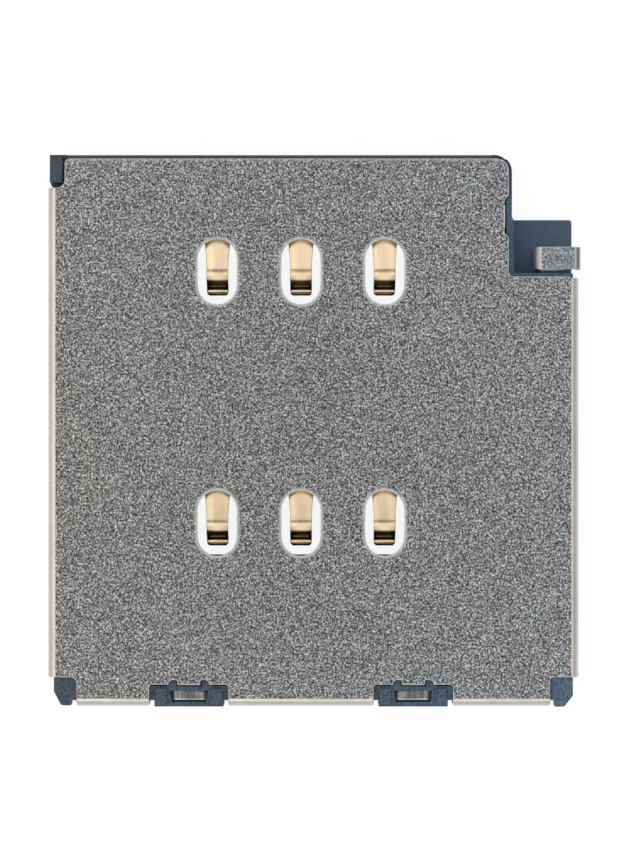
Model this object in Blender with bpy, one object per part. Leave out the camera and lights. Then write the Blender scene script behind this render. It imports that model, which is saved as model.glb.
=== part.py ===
"""Tray type socket for a nano SIM card, with a push rod ejector.

The socket lies on its solder side. +Z is up through the sheet cover, +Y points to the entry
where the tray goes in, and the origin is on the board face under the middle of the socket.
All lengths are in metres.
"""

import math

import bmesh
import bpy
from mathutils import Matrix, Vector

MM = 0.001

# Whole socket
DEPTH = 16.83 * MM
HEIGHT = 1.50 * MM
SHELL_WIDTH = 16.097 * MM

# Clearances
SIDE_FIT = 0.05 * MM
TOP_FIT = 0.04 * MM
RUN_GAP = 0.05 * MM
LIFT = 0.03 * MM
SEAT_GAP = 0.02 * MM
CUT_MARGIN = 0.30 * MM

# Cover sheet and its folds
SHEET = 0.12 * MM
WALL_BEND = 0.24 * MM
TAB_BEND = 0.13 * MM
FRONT_RIM = 0.106 * MM
SIDE_WALL_LOW = 0.24 * MM
REAR_WALL_LOW = 0.32 * MM
WALL_END_GAP = 0.04 * MM
CORNER_ROUND = 0.38 * MM
FRONT_LEFT_ROUND = 0.24 * MM
EDGE_ROUND = 0.14 * MM

# Cut corners of the cover
FRONT_LEFT_CUT_X = 0.507 * MM
FRONT_LEFT_CUT_Y = 0.991 * MM
REAR_CUT_X = 0.866 * MM
REAR_CUT_Y = 0.90 * MM
REAR_LEFT_ROUND = 0.19 * MM
REAR_RIGHT_ROUND = 0.10 * MM
NOTCH_WIDTH = 2.121 * MM
NOTCH_LENGTH = 3.682 * MM

# Solder feet along the side walls
SIDE_FOOT_LENGTH = 1.10 * MM
SIDE_FOOT_FROM_REAR = (1.90 * MM, 7.60 * MM, 11.60 * MM)

# Snap windows in the side walls, and the barbs that fill them
SNAP_FROM_REAR = (4.00 * MM, 10.00 * MM)
SNAP_LENGTH = 1.20 * MM
SNAP_LOW = 0.62 * MM
SNAP_HEIGHT = 0.30 * MM
SNAP_PROUD = 0.08 * MM

# Rear notches of the cover, the tabs in them and their relief cuts
TAB_PITCH = 6.806 * MM
TAB_CENTRE_FROM_LEFT = 7.675 * MM
REAR_NOTCH_WIDTH = 2.40 * MM
REAR_NOTCH_DEPTH = 0.648 * MM
TAB_WIDTH = 0.706 * MM
TAB_SETBACK = 0.612 * MM
RELIEF_WIDTH = 0.26 * MM
RELIEF_PAST = 0.05 * MM

# Tongues of the rear tabs, which lock under the bosses
TONGUE_DROP = 0.45 * MM
TONGUE_BEND = 0.05 * MM
TONGUE_ROOT_WIDTH = 1.10 * MM
TONGUE_WIDTH = 1.00 * MM
TONGUE_LIP = 0.05 * MM
TONGUE_LIP_SLOPE = 12.0
TONGUE_CORNER = 0.03 * MM

# Six windows over the contacts
CONTACT_PITCH_X = 2.54 * MM
CONTACT_PITCH_Y = 7.62 * MM
ARRAY_FROM_LEFT = 7.672 * MM
ARRAY_FROM_FRONT = 7.355 * MM
WINDOW_WIDTH = 1.19 * MM
WINDOW_LENGTH = 1.98 * MM

# Tray latch lance at the entry
LANCE_WIDTH = 0.73 * MM
LANCE_FROM_FRONT = 1.865 * MM
LANCE_DROP = 0.20 * MM
LANCE_REACH = 0.22 * MM
LANCE_TIP = 0.16 * MM
LANCE_SLOPE = 35.0
LANCE_RELIEF = 0.015 * MM
LANCE_PROUD = 0.03 * MM
LATCH_NOTCH_DEPTH = 0.13 * MM
LATCH_NOTCH_SPARE = 0.15 * MM
LATCH_NOTCH_SLANT = 0.12 * MM

# Housing
FLOOR = 0.30 * MM
LEFT_RAIL = 0.332 * MM
THIN_RAIL = 0.18 * MM
RAIL_RIM = 0.10 * MM
REAR_WALL = 0.19 * MM
ENTRY_LIP = 0.09 * MM
LEDGE_PROUD = 0.03 * MM
LEDGE_FROM_FRONT = 1.91 * MM
LEDGE_ROUND = 0.08 * MM
LEDGE_SHELF = 0.045 * MM
LINTEL = 0.24 * MM
PORT_WALL = 0.10 * MM
PORT_TOP = 1.00 * MM
POST_PROUD = 0.115 * MM
POST_WIDTH = 0.38 * MM
POST_ROUND = 0.08 * MM
POST_STEP_LENGTH = 0.10 * MM
POST_STEP_LOW = 1.00 * MM
LUG_PROUD = 0.028 * MM
LUG_ROUND = 0.12 * MM
LUG_HEEL_ROUND = 0.03 * MM
LUG_LOW = 0.70 * MM
LEFT_LUG_WIDTH = 0.525 * MM
RIGHT_LUG_WIDTH = 0.56 * MM
LEFT_LUG_SLOPE = (0.22 * MM, 0.47 * MM)
LEFT_LUG_BACK = 0.04 * MM
RIGHT_LUG_SLOPE = (0.26 * MM, 0.335 * MM)
RIGHT_LUG_BACK = 0.0
BOSS_WIDTH = 2.10 * MM
BOSS_BELOW_TOP = 0.04 * MM
BOSS_PROUD = 0.022 * MM
BOSS_BRIDGE = 0.15 * MM
BOSS_BACK = 0.11 * MM
BOSS_SHELF_LOW = 0.98 * MM
PAD_WIDTH = 0.34 * MM
PAD_LENGTH = 0.50 * MM
PAD_INSET = 0.035 * MM
CORNER_SPARE = 0.06 * MM
OPENING_WIDTH = 1.60 * MM
OPENING_PAST_TIP = 0.33 * MM
OPENING_ROUND = 0.15 * MM
LEAD_IN = 0.10 * MM
CORE_WIDTH = 0.44 * MM
CORE_LENGTH = 1.90 * MM
CORE_COUNT = 4
CORE_WALL = 0.22 * MM

# Contacts
CONTACT_SHEET = 0.10 * MM
CONTACT_TIP_WIDTH = 0.66 * MM
CONTACT_ROOT_WIDTH = 1.06 * MM
CONTACT_TAIL_WIDTH = 0.70 * MM
CONTACT_ANCHOR_LIFT = 0.06 * MM
CONTACT_TAIL = 0.40 * MM
CONTACT_ANCHOR = 0.62 * MM
CONTACT_RUN = 2.34 * MM
CONTACT_CROWN_HEIGHT = 1.34 * MM
CONTACT_CROWN_FORWARD = 0.045 * MM
CONTACT_STRAIGHT_TIP = 1.00 * MM
CONTACT_BARB = 0.03 * MM
CONTACT_CORNER = 0.10 * MM
CONTACT_LIP = 0.02 * MM
ROOT_RADIUS = 0.50 * MM
ELBOW_RADIUS = 0.40 * MM
ARM_SLOPE = 8.0
ARM_LENGTH = 1.05 * MM
CROWN_RADIUS = 0.44 * MM
CROWN_DROP = 66.0
CROWN_FALL = 0.174 * MM
LIP_RADIUS = 0.13 * MM
LIP_TURN = 121.0

# Push rod
ROD_SHEET = 0.15 * MM
ROD_WIDTH = 0.66 * MM
HEAD_WIDTH = 1.38 * MM
HEAD_LENGTH = 0.682 * MM
HEAD_OVERHANG = 0.067 * MM
HEAD_BEND = 0.20 * MM
HEAD_BELOW_TOP = 0.05 * MM
HEAD_GAP = 0.116 * MM
HEAD_WING = 0.35 * MM
HEAD_RELIEF = 0.06 * MM
HOOK_WIDTH = 0.82 * MM
HOOK_WEB = 0.28 * MM
HOOK_SIDE_WEB = 0.32 * MM
HOOK_SHOULDER = 0.40 * MM
FINGER_GAP = 0.03 * MM
STROKE = 1.10 * MM

# Ejector lever and its rivet
LEVER_SHEET = 0.30 * MM
INPUT_ARM = 2.45 * MM
OUTPUT_ARM = 5.00 * MM
HUB_RADIUS = 0.70 * MM
FINGER_RADIUS = 0.25 * MM
NECK_WIDTH = 0.30 * MM
NECK_LENGTH = 0.45 * MM
TIP_RADIUS = 0.35 * MM
RIVET_RADIUS = 0.38 * MM
RIVET_HEAD_RADIUS = 0.62 * MM
RIVET_HEAD = 0.14 * MM
RIVET_HEAD_EDGE = 0.07 * MM
RIVET_FOOT_RADIUS = 0.60 * MM
RIVET_FOOT = 0.12 * MM

# Tray detect switch
SWITCH_SHEET = 0.10 * MM
SWITCH_HEIGHT = 0.55 * MM
SWITCH_LEG = 0.45 * MM
SWITCH_FROM_BLOCK = 0.12 * MM
SWITCH_FROM_REAR = 0.55 * MM
SWITCH_ANCHOR = 0.75 * MM
SWITCH_ARM = 1.35 * MM
SWITCH_ARM_SLOPE = 38.0
SWITCH_NOSE = 0.25 * MM
SWITCH_TIP = 0.30 * MM
SWITCH_AIR = 0.20 * MM
SWITCH_PAD = 0.70 * MM

# Smoothness
ARC_STEPS = 6
BEND_STEPS = 5
ANCHOR_STEPS = 6
DOME_STEPS = 4
ROUND_STEPS = 32
SAME = 1e-8

# Places worked out from the sizes above
LIP_FRONT = DEPTH / 2
FRONT = LIP_FRONT - ENTRY_LIP
REAR = -DEPTH / 2
LEFT = -(SHELL_WIDTH + HEAD_OVERHANG) / 2
RIGHT = LEFT + SHELL_WIDTH
SHELL_REAR = REAR + LUG_PROUD
SHELL_FRONT = FRONT - FRONT_RIM
NOTCH_X = RIGHT - NOTCH_WIDTH
NOTCH_Y = FRONT - NOTCH_LENGTH
REAR_NOTCH_Y = SHELL_REAR + REAR_NOTCH_DEPTH
TAB_FACE_Y = SHELL_REAR + TAB_SETBACK
TAB_MIDDLE = LEFT + TAB_CENTRE_FROM_LEFT
TAB_CENTRES = (TAB_MIDDLE - TAB_PITCH / 2, TAB_MIDDLE + TAB_PITCH / 2)
LATCH_NOTCH_X = NOTCH_X - LATCH_NOTCH_DEPTH
LANCE_LINE = LATCH_NOTCH_X + LANCE_PROUD - TAB_BEND
ARRAY_X = LEFT + ARRAY_FROM_LEFT
ARRAY_Y = FRONT - ARRAY_FROM_FRONT
WINDOW_CENTRES = [
    (ARRAY_X + column * CONTACT_PITCH_X, ARRAY_Y + row * CONTACT_PITCH_Y / 2)
    for row in (1, -1)
    for column in (-1, 0, 1)
]

HOUSE_LEFT = LEFT + SHEET + SIDE_FIT
HOUSE_RIGHT = RIGHT - SHEET - SIDE_FIT
HOUSE_REAR = SHELL_REAR + SHEET + SIDE_FIT
RAIL_TOP = HEIGHT - SHEET - TOP_FIT
BOSS_TOP = HEIGHT - BOSS_BELOW_TOP
CAVITY_LEFT = HOUSE_LEFT + LEFT_RAIL
CAVITY_REAR = HOUSE_REAR + REAR_WALL
RAIL_FACE = NOTCH_X + RAIL_RIM
CAVITY_RIGHT = RAIL_FACE - THIN_RAIL
LEDGE_FRONT = FRONT - LEDGE_FROM_FRONT
LEDGE_RIGHT = HOUSE_RIGHT + LEDGE_PROUD
LINTEL_FRONT = NOTCH_Y + RAIL_RIM
LINTEL_REAR = LINTEL_FRONT - LINTEL
BOSS_FRONT = REAR_NOTCH_Y - TOP_FIT
POCKET_FRONT = BOSS_FRONT - BOSS_BRIDGE
POCKET_REAR = SHELL_REAR + BOSS_BACK
TONGUE_END = POCKET_REAR + SEAT_GAP
TONGUE_SLOT_FRONT = TAB_FACE_Y + SHEET + SIDE_FIT
TONGUE_SLOT_LOW = HEIGHT - TONGUE_DROP - SHEET - SEAT_GAP
TONGUE_SLOT_TOP = HEIGHT - TONGUE_DROP + SIDE_FIT
BLOCK_X = LEFT + REAR_CUT_X + CORNER_SPARE
BLOCK_Y = SHELL_REAR + REAR_CUT_Y + CORNER_SPARE

HEAD_RIGHT = RIGHT + HEAD_OVERHANG
HEAD_LEFT = HEAD_RIGHT - HEAD_WIDTH
HEAD_REAR = LINTEL_FRONT + HEAD_GAP
HEAD_FRONT = HEAD_REAR + HEAD_LENGTH
HEAD_TOP = HEIGHT - HEAD_BELOW_TOP
ROD_LEFT = HEAD_LEFT + HEAD_BEND + HEAD_RELIEF
ROD_RIGHT = ROD_LEFT + ROD_WIDTH
ROD_LOW = FLOOR + LIFT
ROD_TOP = ROD_LOW + ROD_SHEET
CHANNEL_LEFT = ROD_LEFT - RUN_GAP
CHANNEL_RIGHT = ROD_RIGHT + RUN_GAP

SWING = STROKE / INPUT_ARM
HOOK_RIGHT = ROD_LEFT + HOOK_SIDE_WEB / 2
HOOK_LEFT = HOOK_RIGHT - HOOK_WIDTH
FINGER_X = HOOK_RIGHT - HOOK_SIDE_WEB - RUN_GAP - FINGER_RADIUS
HOOK_REAR = CAVITY_REAR + RUN_GAP
FINGER_Y = HOOK_REAR + HOOK_WEB + FINGER_GAP + FINGER_RADIUS
HOOK_FRONT = FINGER_Y + FINGER_RADIUS + FINGER_GAP + HOOK_WEB
HOOK_CORNER = HOOK_FRONT - HOOK_WEB / 2
PIVOT_X = FINGER_X - INPUT_ARM
PIVOT_Y = FINGER_Y + INPUT_ARM * math.sin(SWING / 2)
LEVER_LOW = FLOOR + LIFT
LEVER_TOP = LEVER_LOW + LEVER_SHEET
RAIL_END = HOOK_FRONT + HOOK_SHOULDER + STROKE + 2 * RUN_GAP


def material(name, colour, roughness, metallic):
    """Principled material of one finish."""
    found = bpy.data.materials.get(name)
    if found:
        return found
    made = bpy.data.materials.new(name)
    made.use_nodes = True
    shader = made.node_tree.nodes["Principled BSDF"]
    shader.inputs["Base Color"].default_value = (*colour, 1.0)
    shader.inputs["Roughness"].default_value = roughness
    shader.inputs["Metallic"].default_value = metallic
    return made


def blasted_steel():
    return material("blasted_steel", (0.46, 0.46, 0.45), 0.55, 1.0)


def spring_steel():
    return material("spring_steel", (0.55, 0.54, 0.52), 0.35, 1.0)


def slate_plastic():
    return material("slate_plastic", (0.055, 0.075, 0.10), 0.50, 0.0)


def gold_plate():
    return material("gold_plate", (0.90, 0.70, 0.38), 0.22, 1.0)


def show(name, bm, finish, location=(0.0, 0.0, 0.0), smooth=True):
    """Make an object of a finished mesh, smooth across its shallow angles or faceted."""
    bm.verts.index_update()
    mesh = bpy.data.meshes.new(name)
    bm.to_mesh(mesh)
    bm.free()
    if smooth:
        mesh.shade_smooth()
        mesh.set_sharp_from_angle(angle=math.radians(30))
    made = bpy.data.objects.new(name, mesh)
    made.location = location
    if finish:
        mesh.materials.append(finish)
    bpy.context.scene.collection.objects.link(made)
    return made


def rounded(corners):
    """Outline through (x, y, radius) corners, each with an arc of its radius."""
    outline = []
    count = len(corners)
    for index, (x, y, radius) in enumerate(corners):
        here = Vector((x, y))
        if radius <= 0:
            outline.append(here)
            continue
        to_last = Vector(corners[index - 1][:2]) - here
        to_next = Vector(corners[(index + 1) % count][:2]) - here
        half = to_last.angle(to_next) / 2
        last_share = 0.48 if corners[index - 1][2] > 0 else 0.96
        next_share = 0.48 if corners[(index + 1) % count][2] > 0 else 0.96
        reach = min(radius / math.tan(half), last_share * to_last.length, next_share * to_next.length)
        limited = reach * math.tan(half)
        inward = (to_last.normalized() + to_next.normalized()).normalized()
        middle = here + inward * limited / math.sin(half)
        first = here + to_last.normalized() * reach - middle
        last = here + to_next.normalized() * reach - middle
        turn = first.angle_signed(last)
        for step in range(ARC_STEPS + 1):
            spun = first.copy()
            spun.rotate(Matrix.Rotation(-turn * step / ARC_STEPS, 2))
            outline.append(middle + spun)
    return outline


def rectangle(left, right, low, high, radius=0.0):
    """Outline of a rectangle with round corners."""
    return rounded([(left, low, radius), (right, low, radius), (right, high, radius), (left, high, radius)])


def circle(x, y, radius):
    """Outline of a full circle."""
    angles = [2 * math.pi * step / ROUND_STEPS for step in range(ROUND_STEPS)]
    return [Vector((x + radius * math.cos(angle), y + radius * math.sin(angle))) for angle in angles]


def add_face(bm, loops, z):
    """Fill a flat outline, with the later loops as its holes, and return its faces."""
    edges = []
    for loop in loops:
        verts = [bm.verts.new((point[0], point[1], z)) for point in loop]
        edges += [bm.edges.new((verts[index - 1], verts[index])) for index in range(len(verts))]
    filled = bmesh.ops.triangle_fill(bm, use_beauty=True, edges=edges, normal=(0.0, 0.0, 1.0))
    faces = [item for item in filled["geom"] if isinstance(item, bmesh.types.BMFace)]
    for face in faces:
        if face.normal.z < 0:
            face.normal_flip()
    return faces


def add_prism(bm, loops, low, high):
    """Upright prism of an outline with holes."""
    faces = add_face(bm, loops, low)
    raised = bmesh.ops.extrude_face_region(bm, geom=faces)
    verts = [item for item in raised["geom"] if isinstance(item, bmesh.types.BMVert)]
    bmesh.ops.translate(bm, verts=verts, vec=(0.0, 0.0, high - low))


def prism_mesh(prisms):
    """Closed mesh of one or more separate prisms, each (loops, low, high)."""
    bm = bmesh.new()
    for loops, low, high in prisms:
        add_prism(bm, loops, low, high)
    bmesh.ops.recalc_face_normals(bm, faces=bm.faces)
    return bm


def boolean(target, name, bm, operation):
    """Join a shape to the target or cut it away, through a hidden tool object."""
    tool = show(name, bm, None, smooth=False)
    tool.hide_render = True
    tool.display_type = "WIRE"
    modifier = target.modifiers.new(name, "BOOLEAN")
    modifier.operation = operation
    modifier.solver = "EXACT"
    modifier.object = tool


def keep_flats(target):
    """Let the large flat faces set the shading, so that only the bends look round."""
    modifier = target.modifiers.new("keep_flats", "WEIGHTED_NORMAL")
    modifier.keep_sharp = True


def thicken(target, thickness, offset):
    """Give a sheet its thickness, away from its face side when the offset is -1."""
    modifier = target.modifiers.new("sheet", "SOLIDIFY")
    modifier.thickness = thickness
    modifier.offset = offset
    modifier.use_even_offset = True
    modifier.use_quality_normals = True


def edges_along(bm, axis, value, low, high):
    """Open edges on the line where one coordinate has a value and the other lies in a range."""
    other = 1 - axis
    found = []
    for edge in bm.edges:
        on_line = all(abs(vert.co[axis] - value) < SAME for vert in edge.verts)
        in_range = all(low - SAME < vert.co[other] < high + SAME for vert in edge.verts)
        if edge.is_boundary and on_line and in_range:
            found.append(edge)
    return found


class Fold:
    """Sheet that grows from open edges in straight runs and bends."""

    def __init__(self, bm, edges, normal, forward):
        self.bm = bm
        self.edges = edges
        self.normal = Vector(normal)
        self.forward = Vector(forward)

    def run(self, length):
        """Carry the edges straight on."""
        grown = bmesh.ops.extrude_edge_only(self.bm, edges=self.edges)["geom"]
        verts = [item for item in grown if isinstance(item, bmesh.types.BMVert)]
        bmesh.ops.translate(self.bm, verts=verts, vec=self.forward * length)
        self.edges = [
            item for item in grown
            if isinstance(item, bmesh.types.BMEdge) and all(vert in verts for vert in item.verts)
        ]
        return verts

    def bend(self, radius, degrees, steps=BEND_STEPS):
        """Turn away from the face side, or towards it when the angle is negative."""
        angle = math.radians(degrees)
        axis = self.normal.cross(self.forward)
        start = self.edges[0].verts[0].co.copy()
        centre = start - self.normal * math.copysign(radius, angle)
        spun = bmesh.ops.spin(
            self.bm, geom=self.edges, cent=centre, axis=axis, dvec=(0.0, 0.0, 0.0),
            angle=angle, steps=steps, use_duplicate=False,
        )
        self.edges = [item for item in spun["geom_last"] if isinstance(item, bmesh.types.BMEdge)]
        turn = Matrix.Rotation(angle, 3, axis)
        self.normal = turn @ self.normal
        self.forward = turn @ self.forward


def face_up(bm, point_test, direction):
    """Point all faces of an open sheet the same way, with the tested face towards a direction."""
    bmesh.ops.recalc_face_normals(bm, faces=bm.faces)
    sample = next(face for face in bm.faces if point_test(face))
    if sample.normal.dot(Vector(direction)) < 0:
        bmesh.ops.reverse_faces(bm, faces=bm.faces)


def side_foot_ends():
    """Y values where the solder feet of a side wall begin and end, from the rear."""
    ends = []
    for start in SIDE_FOOT_FROM_REAR:
        ends += [SHELL_REAR + start - SIDE_FOOT_LENGTH / 2, SHELL_REAR + start + SIDE_FOOT_LENGTH / 2]
    return ends


def rear_notch(centre):
    """Corners of one rear notch with its two relief cuts and the tab between them."""
    tab_line = TAB_FACE_Y + TAB_BEND
    relief_top = tab_line + RELIEF_PAST
    notch = REAR_NOTCH_WIDTH / 2
    tab = TAB_WIDTH / 2
    relief = tab + RELIEF_WIDTH
    fold_line = SHELL_REAR + WALL_BEND
    half = [
        (-notch, fold_line, 0.0),
        (-notch, REAR_NOTCH_Y, EDGE_ROUND * 0.6),
        (-relief, REAR_NOTCH_Y, 0.0),
        (-relief, relief_top, RELIEF_WIDTH / 2),
        (-tab, relief_top, RELIEF_PAST),
        (-tab, tab_line, 0.0),
    ]
    mirrored = [(-x, y, radius) for x, y, radius in reversed(half)]
    return [(centre + x, y, radius) for x, y, radius in half + mirrored]


def lance_span():
    """Y range of the latch lance."""
    middle = FRONT - LANCE_FROM_FRONT
    return middle - LANCE_WIDTH / 2, middle + LANCE_WIDTH / 2


def latch_notch():
    """Corners of the shallow notch beside the latch lance, from the rear to the front."""
    low, high = lance_span()
    edge = LATCH_NOTCH_X
    rear = low - LATCH_NOTCH_SPARE
    front = high + LATCH_NOTCH_SPARE
    return [
        (NOTCH_X, rear - LATCH_NOTCH_SLANT, 0.0),
        (edge, rear, LANCE_RELIEF / 2),
        (edge, low - LANCE_RELIEF, 0.0),
        (LANCE_LINE, low - LANCE_RELIEF, 0.0),
        (LANCE_LINE, low, 0.0),
        (LANCE_LINE, high, 0.0),
        (LANCE_LINE, high + LANCE_RELIEF, 0.0),
        (edge, high + LANCE_RELIEF, 0.0),
        (edge, front, LANCE_RELIEF / 2),
        (NOTCH_X, front + LATCH_NOTCH_SLANT, 0.0),
    ]


def shell_outline():
    """Flat top of the cover up to its bend lines, from the front left corner down the left side."""
    cut_x = LEFT + FRONT_LEFT_CUT_X
    cut_y = FRONT - FRONT_LEFT_CUT_Y
    left_line = LEFT + WALL_BEND
    right_line = RIGHT - WALL_BEND
    rear_line = SHELL_REAR + WALL_BEND
    rear_cut_y = SHELL_REAR + REAR_CUT_Y - SIDE_FIT / 2
    corners = [(cut_x, SHELL_FRONT, EDGE_ROUND), (cut_x, cut_y, FRONT_LEFT_ROUND)]
    corners.append((left_line, cut_y, 0.0))
    corners += [(left_line, y, 0.0) for y in reversed(side_foot_ends())]
    corners += [
        (left_line, rear_cut_y, 0.0),
        (LEFT + REAR_CUT_X, rear_cut_y, REAR_LEFT_ROUND),
        (LEFT + REAR_CUT_X, rear_line, 0.0),
    ]
    for centre in TAB_CENTRES:
        corners += rear_notch(centre)
    corners += [
        (RIGHT - REAR_CUT_X, rear_line, 0.0),
        (RIGHT - REAR_CUT_X, rear_cut_y, REAR_RIGHT_ROUND),
        (right_line, rear_cut_y, 0.0),
    ]
    corners += [(right_line, y, 0.0) for y in side_foot_ends() if y < NOTCH_Y - WALL_END_GAP]
    corners += [
        (right_line, NOTCH_Y - WALL_END_GAP, 0.0),
        (right_line - WALL_END_GAP, NOTCH_Y, 0.0),
        (NOTCH_X, NOTCH_Y, EDGE_ROUND),
    ]
    corners += latch_notch()
    corners.append((NOTCH_X, SHELL_FRONT, CORNER_ROUND))
    return rounded(corners)


def window_outline(x, y):
    """Obround window in the cover."""
    end = WINDOW_WIDTH / 2
    straight = WINDOW_LENGTH / 2 - end
    outline = []
    for middle, first in ((y + straight, 0.0), (y - straight, math.pi)):
        for step in range(2 * ARC_STEPS + 1):
            angle = first + math.pi * step / (2 * ARC_STEPS)
            outline.append(Vector((x + end * math.cos(angle), middle + end * math.sin(angle))))
    return outline


def fold_side_wall(bm, line, low, high, outward):
    """Fold one side wall down, and run its solder feet on to the board."""
    wall = Fold(bm, edges_along(bm, 0, line, low, high), (0, 0, 1), (outward, 0, 0))
    wall.bend(WALL_BEND, 90)
    wall.run(HEIGHT - WALL_BEND - SIDE_WALL_LOW)
    ends = side_foot_ends()
    for start, end in zip(ends[0::2], ends[1::2]):
        foot_edges = [
            edge for edge in wall.edges
            if all(start - SAME < vert.co.y < end + SAME for vert in edge.verts)
        ]
        if foot_edges:
            Fold(bm, foot_edges, wall.normal, wall.forward).run(SIDE_WALL_LOW)


def set_width(verts, centre, width):
    """Move the two sides of a strip's end to a width about its centre line."""
    for vert in verts:
        vert.co.x = centre + math.copysign(width / 2, vert.co.x - centre)


def fold_rear_tab(bm, centre):
    """Fold one rear tab down inside the notch, and back as the tongue that locks under the boss."""
    line = TAB_FACE_Y + TAB_BEND
    half = TAB_WIDTH / 2
    tab = Fold(bm, edges_along(bm, 1, line, centre - half, centre + half), (0, 0, 1), (0, -1, 0))
    tab.bend(TAB_BEND, 90)
    tab.run(TONGUE_DROP - TAB_BEND - TONGUE_BEND)
    tab.bend(TONGUE_BEND, -90)
    lean = math.radians(TONGUE_LIP_SLOPE)
    lip_reach = (TONGUE_BEND + SHEET) * math.sin(lean) + TONGUE_LIP * math.cos(lean)
    start = TAB_FACE_Y - TONGUE_BEND
    stations = [
        (POCKET_FRONT, TONGUE_ROOT_WIDTH),
        (TONGUE_END + lip_reach, TONGUE_WIDTH),
    ]
    for y, width in stations:
        set_width(tab.run(start - y), centre, width)
        start = y
    tab.bend(TONGUE_BEND, -TONGUE_LIP_SLOPE, 3)
    set_width(tab.run(TONGUE_LIP), centre, TONGUE_WIDTH - 2 * TONGUE_CORNER)


def fold_lance(bm):
    """Fold the latch lance down and kink it into the tray's path."""
    low, high = lance_span()
    lance = Fold(bm, edges_along(bm, 0, LANCE_LINE, low, high), (0, 0, 1), (1, 0, 0))
    lance.bend(TAB_BEND, 90)
    lance.run(LANCE_DROP)
    lance.bend(TAB_BEND, LANCE_SLOPE, 2)
    lance.run(LANCE_REACH)
    lance.bend(TAB_BEND, -2 * LANCE_SLOPE, 4)
    lance.run(LANCE_TIP)


def snap_centres(side):
    """Y values of the snap windows, those in front of the cut corner left out on the right."""
    centres = [SHELL_REAR + start for start in SNAP_FROM_REAR]
    limit = NOTCH_Y - SNAP_LENGTH if side > 0 else FRONT
    return [y for y in centres if y < limit]


def snap_window_cutter():
    """Cutter for the snap windows of both side walls."""
    bm = bmesh.new()
    gap = SIDE_FIT
    for side, wall in ((-1, LEFT), (1, RIGHT)):
        for y in snap_centres(side):
            half = SNAP_LENGTH / 2 + gap
            outline = rectangle(wall - CUT_MARGIN, wall + CUT_MARGIN, y - half, y + half)
            add_prism(bm, [outline], SNAP_LOW - gap, SNAP_LOW + SNAP_HEIGHT + gap)
    bmesh.ops.recalc_face_normals(bm, faces=bm.faces)
    return bm


def build_cover_shell():
    """Sheet cover: flat top with windows, three folded sides, two rear tabs and a latch lance."""
    bm = bmesh.new()
    add_face(bm, [shell_outline()] + [window_outline(x, y) for x, y in WINDOW_CENTRES], HEIGHT)
    fold_side_wall(bm, LEFT + WALL_BEND, REAR, FRONT, -1)
    fold_side_wall(bm, RIGHT - WALL_BEND, REAR, NOTCH_Y, 1)
    rear = Fold(bm, edges_along(bm, 1, SHELL_REAR + WALL_BEND, LEFT, RIGHT), (0, 0, 1), (0, -1, 0))
    rear.bend(WALL_BEND, 90)
    rear.run(HEIGHT - WALL_BEND - REAR_WALL_LOW)
    for centre in TAB_CENTRES:
        fold_rear_tab(bm, centre)
    fold_lance(bm)
    bmesh.ops.remove_doubles(bm, verts=bm.verts, dist=SAME)
    face_up(bm, lambda face: face.calc_center_median().z > HEIGHT - SAME, (0, 0, 1))
    shell = show("cover_shell", bm, blasted_steel())
    thicken(shell, SHEET, -1)
    boolean(shell, "snap_windows", snap_window_cutter(), "DIFFERENCE")
    keep_flats(shell)


def corner_lug(side, face, width, slope, back):
    """Rear corner lug of the housing, from its slope on the side wall to the rear wall."""
    across, along = slope
    inner = face - side * width
    return [
        (face, REAR + along, 0.0),
        (face - side * across, REAR + back, LUG_ROUND),
        (inner, REAR + back, LUG_HEEL_ROUND),
        (inner, HOUSE_REAR, 0.0),
    ]


def boss_corners(centre, width, wall, face):
    """Three sided step of a rear boss, from a wall line to its face and back."""
    left = centre - width / 2
    right = centre + width / 2
    return [(left, wall, 0.0), (left, face, 0.0), (right, face, 0.0), (right, wall, 0.0)]


def housing_outline():
    """Outside of the housing, from the front left post down the left side."""
    post_left = HOUSE_LEFT - POST_PROUD
    post_rear = FRONT - FRONT_LEFT_CUT_Y + SIDE_FIT
    corners = [(post_left, FRONT, 0.0), (post_left, post_rear, POST_ROUND), (HOUSE_LEFT, post_rear, 0.0)]
    corners += corner_lug(-1, HOUSE_LEFT, LEFT_LUG_WIDTH, LEFT_LUG_SLOPE, LEFT_LUG_BACK)
    for centre in TAB_CENTRES:
        corners += boss_corners(centre, BOSS_WIDTH, HOUSE_REAR, SHELL_REAR - BOSS_PROUD)
    corners += reversed(corner_lug(1, HOUSE_RIGHT, RIGHT_LUG_WIDTH, RIGHT_LUG_SLOPE, RIGHT_LUG_BACK))
    corners += [
        (HOUSE_RIGHT, LINTEL_FRONT, 0.0),
        (LEDGE_RIGHT, LINTEL_FRONT, 0.0),
        (LEDGE_RIGHT, LEDGE_FRONT, LEDGE_ROUND),
        (RAIL_FACE, LEDGE_FRONT, 0.0),
        (RAIL_FACE, FRONT, CORNER_ROUND + RAIL_RIM),
    ]
    return rounded(corners)


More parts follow.
